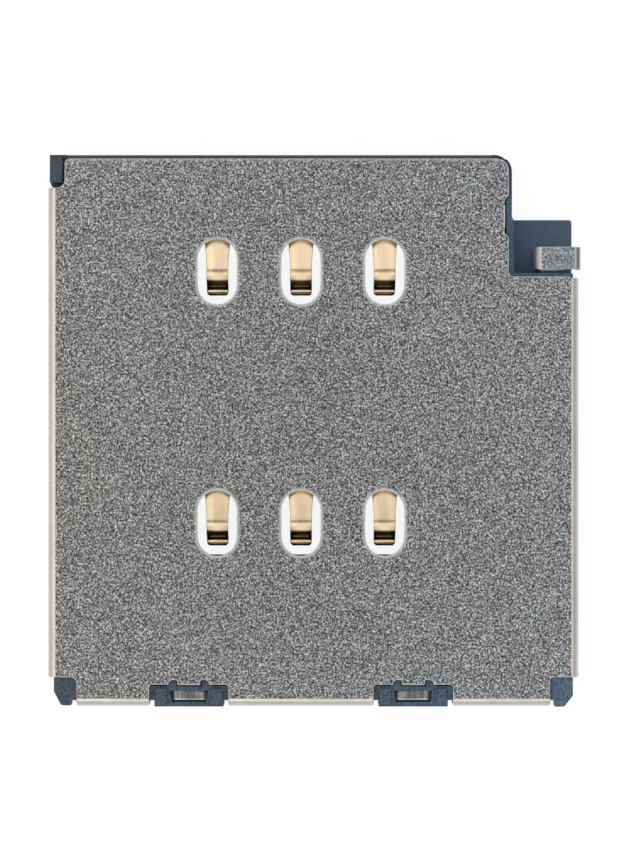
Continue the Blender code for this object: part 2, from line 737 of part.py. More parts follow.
def cavity_outline():
    """Tray space, lever space and rod channel as one open region above the floor."""
    hook_side = HOOK_RIGHT + RUN_GAP
    boss_width = REAR_NOTCH_WIDTH + 2 * CORNER_SPARE
    corners = [
        (CAVITY_LEFT, LIP_FRONT + CUT_MARGIN, 0.0),
        (CAVITY_LEFT, BLOCK_Y, 0.0),
        (BLOCK_X, BLOCK_Y, 0.0),
        (BLOCK_X, CAVITY_REAR, 0.0),
    ]
    for centre in TAB_CENTRES:
        corners += boss_corners(centre, boss_width, CAVITY_REAR, BOSS_FRONT)
    corners += [
        (hook_side, CAVITY_REAR, 0.0),
        (hook_side, HOOK_CORNER, 0.0),
        (CHANNEL_RIGHT, HOOK_CORNER + HOOK_SHOULDER, 0.0),
        (CHANNEL_RIGHT, LINTEL_REAR, 0.0),
        (CHANNEL_LEFT, LINTEL_REAR, 0.0),
        (CHANNEL_LEFT, RAIL_END, 0.0),
        (CAVITY_RIGHT, RAIL_END, EDGE_ROUND),
        (CAVITY_RIGHT, LIP_FRONT + CUT_MARGIN, 0.0),
    ]
    return rounded(corners)


def notch_outline():
    """Open region above the ledge, with the round inner corner of the rail."""
    inner = RAIL_FACE + LEDGE_SHELF
    outer = HOUSE_RIGHT + CUT_MARGIN
    front = LEDGE_FRONT + CUT_MARGIN
    return rounded([
        (inner, LINTEL_FRONT, EDGE_ROUND),
        (outer, LINTEL_FRONT, 0.0),
        (outer, front, 0.0),
        (inner, front, 0.0),
    ])


def snap_barbs():
    """Wedges on both sides of the housing that catch under the snap windows."""
    bm = bmesh.new()
    for side, face in ((-1, HOUSE_LEFT), (1, HOUSE_RIGHT)):
        for y in snap_centres(side):
            half = SNAP_LENGTH / 2
            inner = face - side * SIDE_FIT
            outer = face + side * (SIDE_FIT + SNAP_PROUD)
            top = SNAP_LOW + SNAP_HEIGHT
            section = [(inner, SNAP_LOW), (outer, SNAP_LOW), (outer, SNAP_LOW + SNAP_PROUD), (inner, top)]
            ends = [
                [bm.verts.new((x, y + end, z)) for x, z in section]
                for end in (-half, half)
            ]
            bm.faces.new(ends[0])
            bm.faces.new(ends[1])
            for index in range(len(section)):
                bm.faces.new((ends[0][index - 1], ends[0][index], ends[1][index], ends[1][index - 1]))
    bmesh.ops.recalc_face_normals(bm, faces=bm.faces)
    return bm


def entry_lip_outline():
    """Front edge of the floor, which stands out a little past the rails."""
    corner = CORNER_ROUND + RAIL_RIM
    left = HOUSE_LEFT - POST_PROUD
    return rounded([
        (left, FRONT - corner, 0.0),
        (RAIL_FACE, FRONT - corner, 0.0),
        (RAIL_FACE, LIP_FRONT, corner),
        (left, LIP_FRONT, SIDE_FIT),
    ])


def lug_relief_prisms():
    """Space under the two rear corner lugs."""
    prisms = []
    for side, face, width in ((-1, HOUSE_LEFT, LEFT_LUG_WIDTH), (1, HOUSE_RIGHT, RIGHT_LUG_WIDTH)):
        ends = sorted((face + side * CUT_MARGIN, face - side * (width + SEAT_GAP)))
        outline = rectangle(ends[0], ends[1], REAR - CUT_MARGIN, HOUSE_REAR)
        prisms.append(([outline], -CUT_MARGIN, LUG_LOW))
    return prisms


def boss_shelf_prisms():
    """Shelves in front of the bosses, which close the cover's relief cuts from below."""
    prisms = []
    half = TAB_WIDTH / 2 + RELIEF_WIDTH + CORNER_SPARE
    front = TAB_FACE_Y + TAB_BEND + RELIEF_PAST + CORNER_SPARE
    for centre in TAB_CENTRES:
        outline = rectangle(centre - half, centre + half, BOSS_FRONT - BOSS_BRIDGE / 2, front)
        prisms.append(([outline], BOSS_SHELF_LOW, RAIL_TOP))
    return prisms


def raised_prisms():
    """Two raised pads on each rear boss, and the raised front left post."""
    prisms = []
    low = SHELL_REAR + PAD_INSET
    for centre in TAB_CENTRES:
        for side in (-1, 1):
            outer = centre + side * (BOSS_WIDTH / 2 - PAD_INSET)
            ends = sorted((outer, outer - side * PAD_WIDTH))
            outline = rectangle(ends[0], ends[1], low, low + PAD_LENGTH, PAD_INSET)
            prisms.append(([outline], FLOOR, BOSS_TOP))
    left = HOUSE_LEFT - POST_PROUD
    rear = FRONT - FRONT_LEFT_CUT_Y + SIDE_FIT + POST_STEP_LENGTH
    prisms.append(([rectangle(left, left + POST_WIDTH, rear, FRONT)], FLOOR, BOSS_TOP))
    return prisms


def post_step_outline():
    """Low step round the raised front left post, up to the cut corner of the cover."""
    rear = FRONT - FRONT_LEFT_CUT_Y - SEAT_GAP
    return rectangle(LEFT - CUT_MARGIN, LEFT + FRONT_LEFT_CUT_X + SEAT_GAP, rear, SHELL_FRONT)


def contact_opening_prisms():
    """Openings under the contact arms, right through the floor."""
    prisms = []
    for x, y in WINDOW_CENTRES:
        low = y + CONTACT_CROWN_FORWARD - contact_tip_run() - OPENING_PAST_TIP
        high = y + CONTACT_CROWN_FORWARD + CONTACT_RUN
        outline = rectangle(x - OPENING_WIDTH / 2, x + OPENING_WIDTH / 2, low, high, OPENING_ROUND)
        prisms.append(([outline], -CUT_MARGIN, FLOOR + CUT_MARGIN))
    return prisms


def contact_groove_prisms():
    """Grooves in the underside that hold the contact anchors and their tails."""
    prisms = []
    half = CONTACT_ROOT_WIDTH / 2 + CONTACT_BARB + SEAT_GAP
    top = CONTACT_ANCHOR_LIFT + CONTACT_SHEET + SEAT_GAP
    for x, y in WINDOW_CENTRES:
        root = y + CONTACT_CROWN_FORWARD + CONTACT_RUN
        end = root + contact_anchor_run() + 2 * SEAT_GAP
        prisms.append(([rectangle(x - half, x + half, root - CUT_MARGIN, end)], -CUT_MARGIN, top))
    return prisms


def tail_window_prisms():
    """Windows above the tails of the rear contacts, where the solder joints can be seen."""
    prisms = []
    for x, y in WINDOW_CENTRES:
        if y > ARRAY_Y:
            continue
        end = y + CONTACT_CROWN_FORWARD + CONTACT_RUN + contact_anchor_run()
        half = CONTACT_TAIL_WIDTH / 2 + SIDE_FIT
        outline = rectangle(x - half, x + half, end - CONTACT_TAIL, end + SIDE_FIT, SIDE_FIT)
        prisms.append(([outline], CONTACT_SHEET, FLOOR + CUT_MARGIN))
    return prisms


def tab_slot_prisms():
    """Slots between the shelves for the upright part of the rear tabs."""
    prisms = []
    half = TAB_WIDTH / 2 + SEAT_GAP
    for centre in TAB_CENTRES:
        outline = rectangle(centre - half, centre + half, TAB_FACE_Y - SEAT_GAP, TONGUE_SLOT_FRONT)
        prisms.append(([outline], TONGUE_SLOT_LOW, RAIL_TOP + CUT_MARGIN))
    return prisms


def tongue_slot_prisms():
    """Slots through the bosses for the tongues, under the bridge."""
    prisms = []
    half = TONGUE_ROOT_WIDTH / 2 + SEAT_GAP
    for centre in TAB_CENTRES:
        outline = rectangle(centre - half, centre + half, POCKET_FRONT - SEAT_GAP, TONGUE_SLOT_FRONT)
        prisms.append(([outline], TONGUE_SLOT_LOW, TONGUE_SLOT_TOP))
    return prisms


def pocket_prisms():
    """Blind pockets in the bosses, as narrow to the rear as the tongues that show in them."""
    prisms = []
    front = TONGUE_ROOT_WIDTH / 2 + 1.5 * SEAT_GAP
    rear = TONGUE_WIDTH / 2 + SEAT_GAP
    for centre in TAB_CENTRES:
        outline = rounded([
            (centre - rear, POCKET_REAR, SEAT_GAP),
            (centre + rear, POCKET_REAR, SEAT_GAP),
            (centre + front, POCKET_FRONT, 0.0),
            (centre - front, POCKET_FRONT, 0.0),
        ])
        prisms.append(([outline], TONGUE_SLOT_LOW, BOSS_TOP + CUT_MARGIN))
    return prisms


def core_prisms():
    """Row of coring pockets in the thick rail between the tray space and the rod channel."""
    middle = (CAVITY_RIGHT + CHANNEL_LEFT) / 2
    width = min(CORE_WIDTH, CHANNEL_LEFT - CAVITY_RIGHT - 2 * CORE_WALL)
    first = RAIL_END + CORE_WALL
    pitch = (LINTEL_REAR - RAIL_END - CORE_WALL) / CORE_COUNT
    length = min(CORE_LENGTH, pitch - CORE_WALL)
    prisms = []
    for index in range(CORE_COUNT):
        low = first + index * pitch
        outline = rectangle(middle - width / 2, middle + width / 2, low, low + length, SIDE_FIT)
        prisms.append(([outline], FLOOR, RAIL_TOP + CUT_MARGIN))
    return prisms


def lead_in_cutter():
    """Wedge that slopes the floor's front edge where the tray enters."""
    bm = bmesh.new()
    section = [
        (LIP_FRONT - LEAD_IN, FLOOR + SEAT_GAP),
        (LIP_FRONT + CUT_MARGIN, FLOOR + SEAT_GAP),
        (LIP_FRONT + CUT_MARGIN, FLOOR - LEAD_IN - CUT_MARGIN),
        (LIP_FRONT - LEAD_IN, FLOOR),
    ]
    sides = (CAVITY_LEFT, CAVITY_RIGHT - CORNER_ROUND)
    ends = [[bm.verts.new((x, y, z)) for y, z in section] for x in sides]
    bm.faces.new(ends[0])
    bm.faces.new(ends[1])
    for index in range(len(section)):
        bm.faces.new((ends[0][index - 1], ends[0][index], ends[1][index], ends[1][index - 1]))
    bmesh.ops.recalc_face_normals(bm, faces=bm.faces)
    return bm


def build_housing():
    """Moulded housing, cut from one block of its outline."""
    block = prism_mesh([([housing_outline()], 0.0, RAIL_TOP)])
    housing = show("housing", block, slate_plastic(), smooth=False)
    step = prism_mesh([([post_step_outline()], POST_STEP_LOW, RAIL_TOP + CUT_MARGIN)])
    boolean(housing, "post_step", step, "DIFFERENCE")
    boolean(housing, "raised_pads", prism_mesh(raised_prisms()), "UNION")
    boolean(housing, "snap_barbs", snap_barbs(), "UNION")
    boolean(housing, "entry_lip", prism_mesh([([entry_lip_outline()], 0.0, FLOOR)]), "UNION")
    above = BOSS_TOP + CUT_MARGIN
    boolean(housing, "tray_space", prism_mesh([([cavity_outline()], FLOOR, above)]), "DIFFERENCE")
    boolean(housing, "corner_space", prism_mesh([([notch_outline()], FLOOR, above)]), "DIFFERENCE")
    boolean(housing, "boss_shelves", prism_mesh(boss_shelf_prisms()), "UNION")
    frame = rectangle(
        CHANNEL_LEFT - PORT_WALL, CHANNEL_RIGHT + PORT_WALL, LINTEL_FRONT - LINTEL / 2, HEAD_REAR - RUN_GAP,
    )
    boolean(housing, "port_frame", prism_mesh([([frame], FLOOR - LIFT, PORT_TOP)]), "UNION")
    port = rectangle(CHANNEL_LEFT, CHANNEL_RIGHT, LINTEL_REAR - RUN_GAP, HEAD_REAR)
    boolean(housing, "rod_port", prism_mesh([([port], FLOOR, ROD_TOP + RUN_GAP)]), "DIFFERENCE")
    boolean(housing, "contact_openings", prism_mesh(contact_opening_prisms()), "DIFFERENCE")
    boolean(housing, "contact_grooves", prism_mesh(contact_groove_prisms()), "DIFFERENCE")
    boolean(housing, "tail_windows", prism_mesh(tail_window_prisms()), "DIFFERENCE")
    boolean(housing, "tab_slots", prism_mesh(tab_slot_prisms()), "DIFFERENCE")
    boolean(housing, "tongue_slots", prism_mesh(tongue_slot_prisms()), "DIFFERENCE")
    boolean(housing, "boss_pockets", prism_mesh(pocket_prisms()), "DIFFERENCE")
    boolean(housing, "rail_cores", prism_mesh(core_prisms()), "DIFFERENCE")
    boolean(housing, "switch_slots", prism_mesh(switch_slot_prisms()), "DIFFERENCE")
    boolean(housing, "rivet_hole", rivet_mesh(SEAT_GAP, CUT_MARGIN), "DIFFERENCE")
    boolean(housing, "lug_reliefs", prism_mesh(lug_relief_prisms()), "DIFFERENCE")
    boolean(housing, "lead_in", lead_in_cutter(), "DIFFERENCE")


class Path:
    """Line of points in a plane, drawn as straight runs and arcs."""

    def __init__(self, start, heading=0.0):
        self.points = [Vector(start)]
        self.heading = math.radians(heading)

    def line(self, length, steps=1):
        """Go straight on."""
        step = Vector((math.cos(self.heading), math.sin(self.heading))) * length / steps
        for _ in range(steps):
            self.points.append(self.points[-1] + step)

    def arc(self, radius, degrees, steps=ARC_STEPS):
        """Turn left by an angle, or right when it is negative."""
        angle = math.radians(degrees)
        side = math.copysign(1.0, angle)
        left = Vector((-math.sin(self.heading), math.cos(self.heading)))
        centre = self.points[-1] + left * radius * side
        for _ in range(steps):
            self.heading += angle / steps
            offset = Vector((math.sin(self.heading), -math.cos(self.heading))) * radius * side
            self.points.append(centre + offset)


def climb(run, rise, end_slope):
    """Slope in degrees and length of the straight line from a contact's root arc to its elbow arc."""
    radii = ROOT_RADIUS + ELBOW_RADIUS
    across = run + ELBOW_RADIUS * math.sin(end_slope)
    up = rise - ROOT_RADIUS - ELBOW_RADIUS * math.cos(end_slope)
    length = math.sqrt(across ** 2 + up ** 2 - radii ** 2)
    slope = math.atan2(up, across) + math.atan2(radii, length)
    return math.degrees(slope), length


def jog():
    """Angle and run of the small step from a contact's tail up to its anchor."""
    radius = CONTACT_SHEET
    angle = math.acos(1 - CONTACT_ANCHOR_LIFT / (2 * radius))
    return radius, math.degrees(angle), 2 * radius * math.sin(angle)


def contact_anchor_run():
    """Length from a contact's root to the end of its tail."""
    return CONTACT_ANCHOR + jog()[2] + CONTACT_TAIL


def contact_path():
    """Side view of a contact from its tail to its lip: X runs to the tip, Y is up."""
    path = Path((-contact_anchor_run(), CONTACT_SHEET / 2))
    path.line(CONTACT_TAIL, 2)
    radius, angle, _ = jog()
    path.arc(radius, angle, 3)
    path.arc(radius, -angle, 3)
    path.line(CONTACT_ANCHOR, ANCHOR_STEPS)
    lean = math.radians(ARM_SLOPE)
    run = CONTACT_RUN - CROWN_RADIUS * math.sin(lean) - ARM_LENGTH * math.cos(lean)
    rise = CONTACT_CROWN_HEIGHT - CONTACT_SHEET - CONTACT_ANCHOR_LIFT
    rise -= CROWN_RADIUS * (1 - math.cos(lean)) + ARM_LENGTH * math.sin(lean)
    slope, length = climb(run, rise, lean)
    path.arc(ROOT_RADIUS, slope, 5)
    path.line(length, 4)
    path.arc(ELBOW_RADIUS, ARM_SLOPE - slope, 5)
    path.line(ARM_LENGTH, 6)
    path.arc(CROWN_RADIUS, -(ARM_SLOPE + CROWN_DROP), 10)
    path.line(CROWN_FALL)
    path.arc(LIP_RADIUS, LIP_TURN, 7)
    path.line(CONTACT_LIP)
    return path.points


def contact_tip_run():
    """Length from the crown's top to the end of the lip, seen from above."""
    return contact_path()[-1].x - CONTACT_RUN


def contact_half_width(along, end):
    """Half width of a contact at a distance along its path, measured from the root."""
    if along < -CONTACT_ANCHOR:
        return CONTACT_TAIL_WIDTH / 2
    tip = CONTACT_TIP_WIDTH / 2
    root = CONTACT_ROOT_WIDTH / 2
    taper_end = end - CONTACT_STRAIGHT_TIP
    share = min(max(along / taper_end, 0.0), 1.0)
    half = root + (tip - root) * share
    barb = abs(along + CONTACT_ANCHOR / 2) / (CONTACT_ANCHOR / ANCHOR_STEPS)
    half += CONTACT_BARB * max(0.0, 1.0 - barb)
    corner = CONTACT_CORNER - (end - along)
    if corner > 0:
        half -= CONTACT_CORNER - math.sqrt(max(CONTACT_CORNER ** 2 - corner ** 2, 0.0))
    return half


def build_contact(name, window_x, window_y):
    """Spring contact: a stamped strip with a tail, an anchor, an arm, a crown and a lip."""
    bm = bmesh.new()
    points = contact_path()
    end = points[-1].x
    rows = []
    for point in points:
        half = contact_half_width(point.x, end)
        rows.append([bm.verts.new((side * half, -point.x, point.y)) for side in (-1, 1)])
    for last, this in zip(rows, rows[1:]):
        bm.faces.new((last[0], last[1], this[1], this[0]))
    face_up(bm, lambda face: face.normal.z != 0, (0, 0, 1))
    root_y = window_y + CONTACT_CROWN_FORWARD + CONTACT_RUN
    contact = show(name, bm, gold_plate(), (window_x, root_y, 0.0))
    thicken(contact, CONTACT_SHEET, 0)
    keep_flats(contact)


def rod_outline():
    """Flat part of the push rod: strip, hook with its slot, and the start of the head."""
    slot_low = HOOK_REAR + HOOK_WEB
    slot_high = HOOK_FRONT - HOOK_WEB
    fold_line = HEAD_LEFT + HEAD_BEND
    shoulder = HOOK_FRONT + HOOK_SHOULDER
    right_turn = HOOK_CORNER + 2 * RUN_GAP
    return rounded([
        (fold_line, HEAD_FRONT, 0.0),
        (fold_line, HEAD_REAR, 0.0),
        (ROD_LEFT, HEAD_REAR, 0.0),
        (ROD_LEFT, shoulder, 0.0),
        (HOOK_LEFT, HOOK_FRONT, RUN_GAP),
        (HOOK_LEFT, slot_high, RUN_GAP),
        (HOOK_RIGHT - HOOK_SIDE_WEB, slot_high, RUN_GAP),
        (HOOK_RIGHT - HOOK_SIDE_WEB, slot_low, RUN_GAP),
        (HOOK_LEFT, slot_low, RUN_GAP),
        (HOOK_LEFT, HOOK_REAR, RUN_GAP),
        (HOOK_RIGHT, HOOK_REAR, RUN_GAP),
        (HOOK_RIGHT, right_turn, 0.0),
        (ROD_RIGHT, right_turn + HOOK_SHOULDER, 0.0),
        (ROD_RIGHT, HEAD_FRONT, RUN_GAP),
    ])


def build_push_rod():
    """Push rod: a flat strip whose front end is folded up and over as a box shaped head."""
    bm = bmesh.new()
    faces = add_face(bm, [rod_outline()], ROD_LOW)
    bmesh.ops.reverse_faces(bm, faces=faces)
    edges = edges_along(bm, 0, HEAD_LEFT + HEAD_BEND, HEAD_REAR, HEAD_FRONT)
    head = Fold(bm, edges, (0, 0, -1), (-1, 0, 0))
    head.bend(HEAD_BEND, 90)
    head.run(HEAD_TOP - ROD_LOW - 2 * HEAD_BEND)
    head.bend(HEAD_BEND, 90)
    head.run(HEAD_WIDTH - 2 * HEAD_BEND)
    head.bend(HEAD_BEND, 90)
    head.run(HEAD_WING)
    bmesh.ops.remove_doubles(bm, verts=bm.verts, dist=SAME)
    face_up(bm, lambda face: face.calc_center_median().z < ROD_LOW + SAME, (0, 0, -1))
    rod = show("push_rod", bm, spring_steel())
    thicken(rod, ROD_SHEET, -1)
    keep_flats(rod)


def arc_points(centre, radius, first, last):
    """Points of an arc about a centre, angles in radians."""
    steps = max(2, round(abs(last - first) / (2 * math.pi) * ROUND_STEPS))
    points = []
    for step in range(steps + 1):
        angle = first + (last - first) * step / steps
        points.append(centre + Vector((math.cos(angle), math.sin(angle))) * radius)
    return points


def lever_outline():
    """Lever about its pivot: round hub, short arm with a necked finger, long arm with a round tip."""
    hub = Vector((0.0, 0.0))
    input_angle = -SWING / 2
    output_angle = math.pi - SWING
    along = Vector((math.cos(input_angle), math.sin(input_angle)))
    across = Vector((-along.y, along.x))
    neck = NECK_WIDTH / 2
    finger = along * INPUT_ARM
    neck_start = INPUT_ARM - NECK_LENGTH
    neck_open = math.asin(neck / FINGER_RADIUS)
    neck_lean = math.acos((HUB_RADIUS - neck) / neck_start)
    tip = Vector((math.cos(output_angle), math.sin(output_angle))) * OUTPUT_ARM
    tip_lean = math.acos((HUB_RADIUS - TIP_RADIUS) / OUTPUT_ARM)
    outline = [along * neck_start - across * neck]
    first = input_angle - math.pi + neck_open
    outline += arc_points(finger, FINGER_RADIUS, first, input_angle + math.pi - neck_open)
    outline.append(along * neck_start + across * neck)
    outline += arc_points(hub, HUB_RADIUS, input_angle + neck_lean, output_angle - tip_lean)
    outline += arc_points(tip, TIP_RADIUS, output_angle - tip_lean, output_angle + tip_lean)
    outline += arc_points(hub, HUB_RADIUS, output_angle + tip_lean, 2 * math.pi + input_angle - neck_lean)
    return outline


def build_eject_lever():
    """Flat lever that turns on the rivet."""
    bm = prism_mesh([([lever_outline(), circle(0.0, 0.0, RIVET_RADIUS + SEAT_GAP)], LEVER_LOW, LEVER_TOP)])
    show("eject_lever", bm, spring_steel(), (PIVOT_X, PIVOT_Y, 0.0))


def rivet_mesh(gap, below):
    """Turned rivet at the pivot, grown by a gap, and reaching below the board face when it cuts."""
    top = LEVER_TOP + SEAT_GAP
    section = [
        (0.0, -below),
        (RIVET_FOOT_RADIUS + gap, -below),
        (RIVET_FOOT_RADIUS + gap, RIVET_FOOT + gap),
        (RIVET_RADIUS + gap, RIVET_FOOT + gap),
        (RIVET_RADIUS + gap, top + gap),
        (RIVET_HEAD_RADIUS - SEAT_GAP, top + gap),
        (RIVET_HEAD_RADIUS, top + gap + SEAT_GAP),
    ]
    for step in range(DOME_STEPS):
        angle = math.pi / 2 * step / DOME_STEPS
        rise = RIVET_HEAD_EDGE + (RIVET_HEAD - RIVET_HEAD_EDGE) * math.sin(angle)
        section.append((RIVET_HEAD_RADIUS * math.cos(angle), top + rise))
    section.append((0.0, top + RIVET_HEAD))
    bm = bmesh.new()
    verts = [bm.verts.new((PIVOT_X + radius, PIVOT_Y, z)) for radius, z in section]
    edges = [bm.edges.new(pair) for pair in zip(verts, verts[1:])]
    bmesh.ops.spin(
        bm, geom=verts + edges, cent=(PIVOT_X, PIVOT_Y, 0.0), axis=(0.0, 0.0, 1.0), dvec=(0.0, 0.0, 0.0),
        angle=2 * math.pi, steps=ROUND_STEPS, use_merge=True, use_duplicate=False,
    )
    bmesh.ops.remove_doubles(bm, verts=bm.verts, dist=10 * SAME)
    bmesh.ops.recalc_face_normals(bm, faces=bm.faces)
    return bm


def switch_spring_path():
    """Detect spring from above: anchor, arm that slopes forward, round nose and free tip."""
    path = Path((BLOCK_X + SWITCH_FROM_BLOCK, CAVITY_REAR + SWITCH_FROM_REAR))
    path.line(SWITCH_ANCHOR)
    path.arc(SWITCH_NOSE, SWITCH_ARM_SLOPE, 4)
    path.line(SWITCH_ARM)
    path.arc(SWITCH_NOSE, -2 * SWITCH_ARM_SLOPE, 8)
    path.line(SWITCH_TIP)
    return path.points


def switch_pad_path():
    """Fixed detect contact from above: a short plate behind the free tip of the spring."""
    tip = switch_spring_path()[-1]
    path = Path((tip.x - SWITCH_PAD / 2, tip.y - SWITCH_AIR - 2 * SWITCH_SHEET))
    path.line(SWITCH_PAD)
    return path.points


def build_switch_piece(name, points, leg_end):
    """Upright stamped strip along a path, with a leg through the floor at its start or end."""
    bm = bmesh.new()
    low = FLOOR + LIFT
    high = low + SWITCH_HEIGHT
    rows = [[bm.verts.new((point.x, point.y, z)) for z in (low, high)] for point in points]
    for last, this in zip(rows, rows[1:]):
        bm.faces.new((last[0], this[0], this[1], last[1]))
    split = leg_split(points, leg_end)
    bmesh.ops.bisect_plane(
        bm, geom=bm.verts[:] + bm.edges[:] + bm.faces[:], dist=SAME,
        plane_co=(split, 0, 0), plane_no=(1, 0, 0),
    )
    first, last = (points[0].x, split) if leg_end == "start" else (split, points[-1].x)
    leg = []
    for edge in bm.edges:
        at_bottom = all(abs(vert.co.z - low) < SAME for vert in edge.verts)
        in_leg = all(first - SAME < vert.co.x < last + SAME for vert in edge.verts)
        if at_bottom and in_leg:
            leg.append(edge)
    Fold(bm, leg, (0, -1, 0), (0, 0, -1)).run(low)
    face_up(bm, lambda face: abs(face.normal.y) > 0.99, (0, -1, 0))
    piece = show(name, bm, gold_plate())
    thicken(piece, SWITCH_SHEET, 0)
    keep_flats(piece)


def leg_split(points, leg_end):
    """X value where the leg of a switch piece ends."""
    return points[0].x + SWITCH_LEG if leg_end == "start" else points[-1].x - SWITCH_LEG


def switch_slot_prisms():
    """Slots in the floor for the legs of both switch pieces."""
    prisms = []
    spring = switch_spring_path()
    pad = switch_pad_path()
    spans = [
        (spring[0].x, leg_split(spring, "start"), spring[0].y),
        (leg_split(pad, "end"), pad[-1].x, pad[0].y),
    ]
    for left, right, y in spans:
        half = SWITCH_SHEET / 2 + SEAT_GAP
        outline = rectangle(left - SEAT_GAP, right + SEAT_GAP, y - half, y + half)
        prisms.append(([outline], -CUT_MARGIN, FLOOR + CUT_MARGIN))
    return prisms


def main():
    for old in list(bpy.data.objects):
        bpy.data.objects.remove(old, do_unlink=True)
    build_cover_shell()
    build_housing()
    for number, (x, y) in enumerate(WINDOW_CENTRES, start=1):
        build_contact(f"contact_{number}", x, y)
    build_push_rod()
    build_eject_lever()
    show("pivot_rivet", rivet_mesh(0.0, 0.0), spring_steel())
    build_switch_piece("detect_spring", switch_spring_path(), "start")
    build_switch_piece("detect_contact", switch_pad_path(), "end")


main()
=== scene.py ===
import math

import bpy
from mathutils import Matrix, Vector


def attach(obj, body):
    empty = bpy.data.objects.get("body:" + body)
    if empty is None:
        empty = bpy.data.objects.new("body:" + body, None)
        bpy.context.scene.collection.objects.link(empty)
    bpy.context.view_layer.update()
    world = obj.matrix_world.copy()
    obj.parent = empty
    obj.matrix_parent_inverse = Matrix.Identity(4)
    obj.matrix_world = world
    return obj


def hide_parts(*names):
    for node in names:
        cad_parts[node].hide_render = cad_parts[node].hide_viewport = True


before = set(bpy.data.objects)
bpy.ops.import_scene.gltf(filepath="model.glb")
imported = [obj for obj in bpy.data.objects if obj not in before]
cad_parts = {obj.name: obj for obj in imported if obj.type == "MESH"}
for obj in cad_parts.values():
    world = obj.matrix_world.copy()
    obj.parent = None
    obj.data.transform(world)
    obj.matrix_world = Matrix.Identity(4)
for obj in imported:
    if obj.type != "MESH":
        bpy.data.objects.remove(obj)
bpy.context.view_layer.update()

MM = 0.001

# The photograph: 640 by 847 pixels, straight down on the cover
VIEW_HEIGHT = 25.67 * MM
VIEW_CENTRE = (0.167 * MM, 0.182 * MM)
LENS = 150.0
SENSOR = 36.0

# Heights of the cover's flat top and of the rod's head, how far below them a bend starts and how far it is
# plain, and how far the rounded rims of the cover dip
COVER_TOP = 1.50 * MM
HEAD_TOP = 1.45 * MM
BEND_START = 0.0005 * MM
BEND_PLAIN = 0.0035 * MM
BEVEL_DROP = 0.0145 * MM

# Reach of the base to its sides and to its ends
BASE_SIDE = 8.0 * MM
BASE_END = 8.4 * MM

# Where the flat top of the cover ends: left and right of its middle, at the rear and at the front
BEND_MIDDLE = -0.0335 * MM
BEND_SIDE = 7.808 * MM
BEND_REAR = -8.147 * MM
COVER_FRONT = 8.219 * MM

# Contacts: crowns of the rear row, pitch of the two rows, line between them, columns and their pitch
REAR_ROW = -2.817 * MM
ROW_PITCH = 7.62 * MM
ROW_DIVIDE = 1.0 * MM
FIRST_COLUMN = -2.95 * MM
COLUMN_PITCH = 2.54 * MM
CONTACTS = 6

# Windows of the cover: middle of the rear row, half their width and straight length, width of the lighter
# band round them
REAR_WINDOWS = -2.84 * MM
WINDOW_RADIUS = 0.595 * MM
WINDOW_STRAIGHT = 0.395 * MM
RIM_BAND_WIDTH = 0.11 * MM

# Tongues of the cover in the pockets of the base, where the painted highlight of their lips begins, and how
# much they grow to lie against the pockets
TONGUE_MIDDLES = (-3.81 * MM, 2.996 * MM)
TONGUE_REACH = 0.62 * MM
TONGUE_TOP = 1.05 * MM
TONGUE_LIP = -8.190 * MM
POCKET_FRONT = -7.929 * MM
POCKET_MARGIN = 0.01 * MM
TONGUE_MARGIN = 0.02 * MM
TONGUE_WIDENING = 1.035
TONGUE_LENGTHENING = 1.045

# Rod: rear edge of its head, middle of the head, and length of the neck behind it that is painted dark as
# shade
HEAD_REAR = 4.86 * MM
HEAD_MIDDLE = 7.4 * MM
SHADED_NECK_LENGTH = 0.14 * MM

# Rounding of the corners of each piece
COVER_ROUND = 0.024 * MM
BASE_ROUND = 0.015 * MM
CONTACT_ROUND = 0.014 * MM
SWITCH_ROUND = 0.010 * MM
ROD_ROUND = 0.015 * MM
ARM_ROUND = 0.020 * MM
RIVET_ROUND = 0.010 * MM

# Angles in degrees: faces that lie flat together, corners that are rounded, and edges that are shaded smooth
FLAT_ANGLE = 0.5
CORNER_ANGLE = 35
SMOOTH_ANGLE = 40
MERGE_DISTANCE = 1e-7

# Light table: size, distance under the socket, and glow
TABLE_SIZE = 0.6
TABLE_DROP = 0.01 * MM
TABLE_GLOW = 0.88

# Radiance of the room overhead and at the horizon
ROOM_ZENITH = 0.42
ROOM_HORIZON = 0.62

# Softboxes in a frame round the zenith: their distance, then name, azimuth, lean, width and depth, radiance
# and colour of each
SOFTBOX_DISTANCE = 0.30
SOFTBOXES = (
    ("left_softbox", 180, 31, (0.40, 0.20), 0.62, (1.0, 0.975, 0.94)),
    ("left_low_softbox", 180, 64, (0.40, 0.16), 0.26, (1.0, 0.975, 0.94)),
    ("right_softbox", 0, 24, (0.36, 0.12), 0.46, (0.97, 0.985, 1.0)),
    ("far_softbox", 90, 29, (0.30, 0.18), 0.48, (1.0, 1.0, 1.0)),
    ("near_softbox", -90, 38, (0.30, 0.30), 0.42, (1.0, 1.0, 1.0)),
)


# Materials

